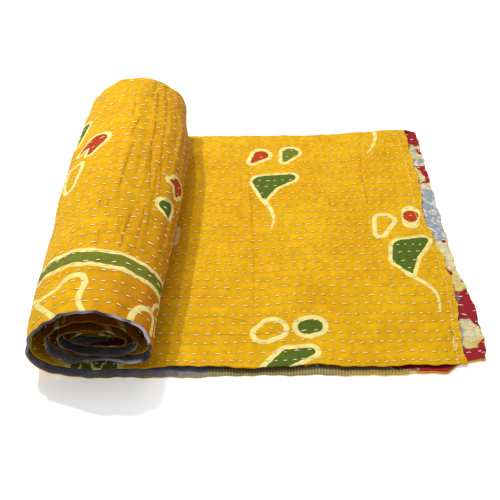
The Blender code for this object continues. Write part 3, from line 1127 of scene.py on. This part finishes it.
class QuiltColours(bpy.types.PropertyGroup):
    """Dyes of the two cloths and the thread, and colours of painted shade and highlight."""

    yellow: colour_property("Yellow", "Ground of the face", (0.755, 0.420, 0.003))
    yellow_deep: colour_property("Deep yellow", "Ground where the dye is stronger", (0.700, 0.350, 0.002))
    # Painted shade: the darker orange of the roll's right side
    side_shade_orange: colour_property("Orange yellow", "Ground on the roll's right side", (0.540, 0.185, 0.002))
    cream: colour_property("Cream", "Outlines of the face's print", (0.87, 0.74, 0.26))
    red: colour_property("Red", "Ovals of the face's print", (0.47, 0.045, 0.006))
    green: colour_property("Green", "Leaves of the face's print", (0.085, 0.135, 0.012))
    olive: colour_property("Olive", "Border band of the face's print", (0.17, 0.185, 0.014))
    shade: colour_property("Crease shade", "Bottom of creases and stitch holes", (0.33, 0.11, 0.004))
    backing_red: colour_property("Backing red", "Ground of the backing", (0.30, 0.008, 0.018))
    backing_cream: colour_property("Backing cream", "Flowers of the backing", (0.72, 0.62, 0.33))
    backing_blue: colour_property("Backing blue", "Patches of the backing", (0.29, 0.325, 0.375))
    backing_pale: colour_property("Backing pale blue", "Lines in the blue patches", (0.60, 0.60, 0.56))
    backing_yellow: colour_property("Backing yellow", "Petals in the cream patches", (0.62, 0.50, 0.12))
    backing_olive: colour_property("Backing olive", "Lines in the cream patches", (0.20, 0.16, 0.05))
    backing_khaki: colour_property("Backing khaki", "Band at the front hem", (0.36, 0.31, 0.14))
    backing_slate: colour_property("Backing slate", "Inside of the roll", (0.135, 0.140, 0.180))
    backing_slate_light: colour_property("Light slate", "Worn parts inside the roll", (0.230, 0.235, 0.265))
    # Painted highlight on the rim round the roll's mouth
    backing_edge: colour_property("Backing edge", "Worn rim of the roll", (0.50, 0.50, 0.58))
    thread: colour_property("Thread", "Quilting thread", (1.0, 0.95, 0.64))
    hem_thread: colour_property("Hem thread", "Thread of the hem's line", (0.95, 0.66, 0.10))
    thread_deep: colour_property("Deep thread", "Quilting thread where it is darker", (1.0, 0.87, 0.45))


class QuiltLight(bpy.types.PropertyGroup):
    """Studio light."""

    key: bpy.props.FloatProperty(name="Key", description="Power of the key light", default=36.5, unit="POWER")
    second: bpy.props.FloatProperty(
        name="Second", description="Power of the second light behind", default=14.0, unit="POWER"
    )
    overhead: bpy.props.FloatProperty(
        name="Overhead", description="Power of the soft overhead light", default=34.0, unit="POWER"
    )
    sky: bpy.props.FloatProperty(name="Sky", description="Strength of the light all round", default=0.41)
    floor: bpy.props.FloatProperty(name="Floor", description="Glow of the lit floor", default=0.30)


def link(scene, name, data, matrix=None):
    """An object of the stage."""
    piece = bpy.data.objects.new(name, data)
    scene.collection.objects.link(piece)
    if matrix is not None:
        piece.matrix_world = matrix
    return piece


def add_camera(scene):
    """The camera that the main picture is taken with."""
    tilt, turn, roll = (math.radians(a) for a in (CAMERA_TILT, CAMERA_TURN, CAMERA_ROLL))
    forward = Vector((-math.sin(turn) * math.cos(tilt), math.cos(turn) * math.cos(tilt), -math.sin(tilt)))
    level = Vector((math.cos(turn), math.sin(turn), 0.0))
    upright = level.cross(forward)
    right = math.cos(roll) * level - math.sin(roll) * upright
    up = math.sin(roll) * level + math.cos(roll) * upright
    data = bpy.data.cameras.new("camera")
    data.sensor_width = SENSOR_WIDTH
    data.lens = SENSOR_WIDTH * LENS_PIXELS / IMAGE_SIDE
    place = Vector((-CENTRE[0], -CAMERA_BACK - CENTRE[1], CAMERA_HEIGHT))
    turned = Matrix((right, up, -forward)).transposed().to_4x4()
    scene.camera = link(scene, "camera", data, Matrix.Translation(place) @ turned)


def add_floor(scene):
    """A wide pale floor, lit a little by itself."""
    bm = bmesh.new()
    bmesh.ops.create_grid(bm, x_segments=2, y_segments=2, size=9.0)
    mesh = bpy.data.meshes.new("floor")
    bm.to_mesh(mesh)
    bm.free()
    shader = Shader("white floor")
    cloudy = shader.noise(shader.node("TexCoord").outputs["Object"], 2.0, 0.5, 3.0)
    colour = shader.blend(cloudy, (0.93, 0.93, 0.93, 1.0), (0.95, 0.95, 0.95, 1.0))
    shader.feed(shader.surface.inputs["Base Color"], colour)
    shader.surface.inputs["Roughness"].default_value = 0.9
    shader.surface.inputs["Emission Color"].default_value = (1.0, 1.0, 1.0, 1.0)
    shader.surface.inputs["Emission Strength"].default_value = scene.quilt_light.floor
    mesh.materials.append(shader.material)
    link(scene, "floor", mesh)


def add_light(scene):
    """Even light all round, and the lamps, which point at the quilt."""
    world = bpy.data.worlds.new("studio")
    scene.world = world
    world.use_nodes = True
    sky = world.node_tree.nodes["Background"]
    sky.inputs["Color"].default_value = (1.0, 1.0, 1.0, 1.0)
    sky.inputs["Strength"].default_value = scene.quilt_light.sky
    for name, place, size in LAMPS:
        lamp = bpy.data.lights.new(name, "AREA")
        lamp.shape = "DISK"
        lamp.size = size
        lamp.energy = getattr(scene.quilt_light, name)
        aim = (-Vector(place)).to_track_quat("-Z", "Y").to_matrix().to_4x4()
        link(scene, name, lamp, Matrix.Translation(place) @ aim)


class QUILT_OT_stage(bpy.types.Operator):
    """Add the camera, the light and the pale floor"""

    bl_idname = "quilt.stage"
    bl_label = "Stage"

    def execute(self, context):
        add_camera(context.scene)
        add_floor(context.scene)
        add_light(context.scene)
        context.scene.view_settings.view_transform = "Standard"
        return {"FINISHED"}


def face_is_seen(along, width):
    """The places of the face that show: the flat end's top and the outer turn."""
    flat_end = along < FLAT_SEEN and width < FOLDED_DEPTH + 0.02
    outer_turn = OUTER_TURN[0] < along < OUTER_TURN[1] and width > FOLDED_DEPTH - 0.02
    return flat_end or outer_turn


def near_front(along, width):
    """Within a hand's width of a front hem."""
    return width < HAND or width > QUILT_WIDTH - HAND


def backing_is_seen(along, width):
    """The places of the backing that may show: by the right hem and the front hems."""
    return along < 0.08 or near_front(along, width)


class QUILT_OT_face(bpy.types.Operator):
    """Add the printed yellow face cloth"""

    bl_idname = "quilt.face"
    bl_label = "Face cloth"

    def execute(self, context):
        sizes = context.scene.quilt_sizes
        grid = flat_grid(marks(PATH_LENGTH, sizes.grid, False), marks(QUILT_WIDTH, sizes.grid, True))
        refine(grid, face_is_seen, 2)
        refine(grid, lambda along, width: near_front(along, width) and not face_is_seen(along, width), 1)
        mesh = cloth_mesh("face_cloth", grid, HALF, False, sizes, printed)
        material = face_material(context.scene.quilt_colours)
        piece = mesh_object("face_cloth", mesh, material)
        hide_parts("quilt_face")
        return {"FINISHED"}


class QUILT_OT_backing(bpy.types.Operator):
    """Add the printed backing cloth"""

    bl_idname = "quilt.backing"
    bl_label = "Backing cloth"

    def execute(self, context):
        sizes = context.scene.quilt_sizes
        grid = flat_grid(marks(PATH_LENGTH, sizes.grid, False), marks(QUILT_WIDTH, sizes.grid, True))
        refine(grid, lambda along, width: along < 0.07 and width > FOLDED_DEPTH, 2)
        refine(grid, lambda along, width: near_front(along, width) and along >= 0.07, 1)
        mesh = cloth_mesh("backing_cloth", grid, AIR / 2, True, sizes, patched)
        material = backing_material(context.scene.quilt_colours)
        piece = mesh_object("backing_cloth", mesh, material)
        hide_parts("quilt_backing")
        return {"FINISHED"}


def copies_of_one_stitch(count):
    """Many copies of one short thread that lies along X, each numbered, all in one mesh."""
    bm = bmesh.new()
    number = bm.verts.layers.int.new("number")
    on_its_side = Matrix.Rotation(math.pi / 2, 4, "Y")
    bmesh.ops.create_uvsphere(bm, u_segments=5, v_segments=4, radius=0.5, matrix=on_its_side)
    made = 1
    while made < count:
        faces = [face for face in bm.faces if all(vert[number] < count - made for vert in face.verts)]
        parts = {part for face in faces for part in (*face.verts, *face.edges)}
        copied = bmesh.ops.duplicate(bm, geom=faces + list(parts))["geom"]
        for part in copied:
            if isinstance(part, bmesh.types.BMVert):
                part[number] += made
        made = min(2 * made, count)
    return bm


def stitch_mesh(name, rows, inner, sizes):
    """Stitches laid on a cloth, from each one's along, width, length, tilt and thickness."""
    bm = copies_of_one_stitch(len(rows))
    mesh = bpy.data.meshes.new(name)
    bm.to_mesh(mesh)
    bm.free()
    number = np.empty(len(mesh.vertices), int)
    mesh.attributes["number"].data.foreach_get("value", number)
    each = corner_places(mesh)
    stitches = np.array(rows)
    raised = padding_height(stitches[:, 0], stitches[:, 1], sizes)[number]
    along, width, length, tilt, thick = stitches[number].T
    x = each[:, 0] * length
    y = each[:, 1] * thick
    # flattened, and sunk into the cloth at both ends
    z = (each[:, 2] * 0.5 + 0.42 - 1.2 * each[:, 0] ** 2) * thick
    heights = AIR / 2 - BACKING_SHARE * raised - z if inner else HALF + raised + z
    along = along + x * np.cos(tilt) - y * np.sin(tilt)
    width = width + x * np.sin(tilt) + y * np.cos(tilt)
    places, _, _ = cloth_points(along, width, heights, inner)
    mesh.vertices.foreach_set("co", places.ravel())
    mesh.attributes.remove(mesh.attributes["number"])
    mesh.shade_smooth()
    mesh.update()
    return mesh


def quilting_rows(sizes, shown, pitches_on):
    """Every running stitch as along, width, length, tilt and thickness, moved on by a share of a pitch."""
    rng = np.random.default_rng(31)
    rows = []
    for row in range(int((QUILT_WIDTH - FIRST_ROW) / ROW_PAIR) * 2 + 2):
        pitch = float(row_pitch(row))
        base = row_width(row)
        if base > QUILT_WIDTH - NO_STITCHES[0] or abs(base - FOLDED_DEPTH) < NO_STITCHES[1]:
            continue
        for number in range(1, int(PATH_LENGTH / pitch)):
            wobble = rng.normal(0.0, 1.0, 5) * STITCH_SPREAD
            along = (number - float(row_start(row)) + pitches_on) * pitch + wobble[0]
            if not NO_STITCHES[1] < along < PATH_LENGTH - NO_STITCHES[1] or not shown(along, base):
                continue
            width = base - float(row_wave(along, base)) + wobble[1]
            length = pitch * sizes.stitch_share * (1.0 + wobble[2])
            rows.append((along, width, length, STITCH_TILT + wobble[3], sizes.thread * (1.0 + wobble[4])))
    return rows


def sewn(points, thickness):
    """Stitches end to end along a route of along and width."""
    rows = []
    for (x0, y0), (x1, y1) in zip(points, points[1:]):
        length = math.hypot(x1 - x0, y1 - y0)
        rows.append(((x0 + x1) / 2, (y0 + y1) / 2, OVERLAP * length, math.atan2(y1 - y0, x1 - x0), thickness))
    return rows


def hem_rows(sizes):
    """The line of thread that holds the upper ply's right hem."""
    widths = np.linspace(0.012, FOLDED_DEPTH - 0.012, HEM_STITCHES + 1)
    insets = eased(HEM_INSET, 1, widths) + 0.0006 * np.sin(widths * 90.0)
    return sewn(list(zip(insets.tolist(), widths.tolist())), sizes.thread * 0.55)


def edge_rows(sizes, upper):
    """Short stitches over one ply's right hem."""
    rng = np.random.default_rng(57)
    along, length, share = EDGE_STITCH
    apart = EDGE_APART[upper]
    rows = []
    for number in range(int(0.735 / apart)):
        wobble = rng.normal(0.0, 1.0, 4) * EDGE_SPREAD
        from_hem = 0.016 + apart * number + wobble[0]
        width = from_hem if upper else QUILT_WIDTH - from_hem
        rows.append((along + wobble[2], width, length * (1.0 + wobble[1]), wobble[3], sizes.thread * share))
    return rows


def loose_ends(sizes):
    """A loop and an end of thread left loose near the front right corner."""
    loop = sewn(curved(LOOSE_LOOP).tolist(), sizes.thread * 0.8)
    return loop + sewn(LOOSE_END, sizes.thread * 0.6)


class QUILT_OT_quilting(bpy.types.Operator):
    """Add the rows of running stitches on both cloths"""

    bl_idname = "quilt.quilting"
    bl_label = "Running stitches"

    def execute(self, context):
        sizes = context.scene.quilt_sizes
        colours = context.scene.quilt_colours
        material = thread_material("quilting thread", colours.thread, colours.thread_deep)
        rows = quilting_rows(sizes, lambda along, width: True, 0.0)
        mesh = stitch_mesh("face_stitches", rows, False, sizes)
        mesh_object("face_stitches", mesh, material)
        rows = quilting_rows(sizes, backing_is_seen, 0.5)
        mesh = stitch_mesh("backing_stitches", rows, True, sizes)
        mesh_object("backing_stitches", mesh, material)
        return {"FINISHED"}


class QUILT_OT_hems(bpy.types.Operator):
    """Add the stitches that hold the right end's hems, and the loose ends of thread"""

    bl_idname = "quilt.hems"
    bl_label = "Hem stitches"

    def execute(self, context):
        sizes = context.scene.quilt_sizes
        colours = context.scene.quilt_colours
        pale = bpy.data.materials["quilting thread"]
        yellow = thread_material("hem thread", colours.hem_thread, colours.cream)
        for name, rows, inner, material, slot in (
            ("face_hem_stitches", hem_rows(sizes), False, yellow, "face_cloth"),
            ("face_edge_stitches", edge_rows(sizes, True) + loose_ends(sizes), False, pale, "face_cloth"),
            ("backing_edge_stitches", edge_rows(sizes, False), True, pale, "backing_cloth"),
        ):
            mesh_object(name, stitch_mesh(name, rows, inner, sizes), material)
        return {"FINISHED"}


class QUILT_OT_declare(bpy.types.Operator):
    """Finish without doing anything"""

    bl_idname = "quilt.declare"
    bl_label = "Cloth sizes"

    def execute(self, context):
        return {"FINISHED"}


OPERATORS = (
    QUILT_OT_stage,
    QUILT_OT_face,
    QUILT_OT_backing,
    QUILT_OT_quilting,
    QUILT_OT_hems,
    QUILT_OT_declare,
)


class QUILT_PT_panel(bpy.types.Panel):
    """The quilt's pieces, sizes, colours and light"""

    bl_idname = "QUILT_PT_panel"
    bl_label = "Quilt"
    bl_space_type = "VIEW_3D"
    bl_region_type = "UI"
    bl_category = "Quilt"

    def draw(self, context):
        for operator in OPERATORS:
            self.layout.operator(operator.bl_idname)
        for group in (context.scene.quilt_sizes, context.scene.quilt_colours, context.scene.quilt_light):
            box = self.layout.box()
            for name in group.__annotations__:
                box.prop(group, name)


GROUPS = {"quilt_sizes": QuiltSizes, "quilt_colours": QuiltColours, "quilt_light": QuiltLight}


def register():
    for item in (*GROUPS.values(), *OPERATORS, QUILT_PT_panel):
        bpy.utils.register_class(item)
    for name, group in GROUPS.items():
        setattr(bpy.types.Scene, name, bpy.props.PointerProperty(type=group))


def unregister():
    for name in GROUPS:
        delattr(bpy.types.Scene, name)
    for item in reversed((*GROUPS.values(), *OPERATORS, QUILT_PT_panel)):
        bpy.utils.unregister_class(item)


def main():
    register()
    bpy.ops.quilt.stage()
    bpy.ops.quilt.face()
    bpy.ops.quilt.backing()
    bpy.ops.quilt.quilting()
    bpy.ops.quilt.hems()
    bpy.ops.quilt.declare()


if __name__ == "__main__":
    main()
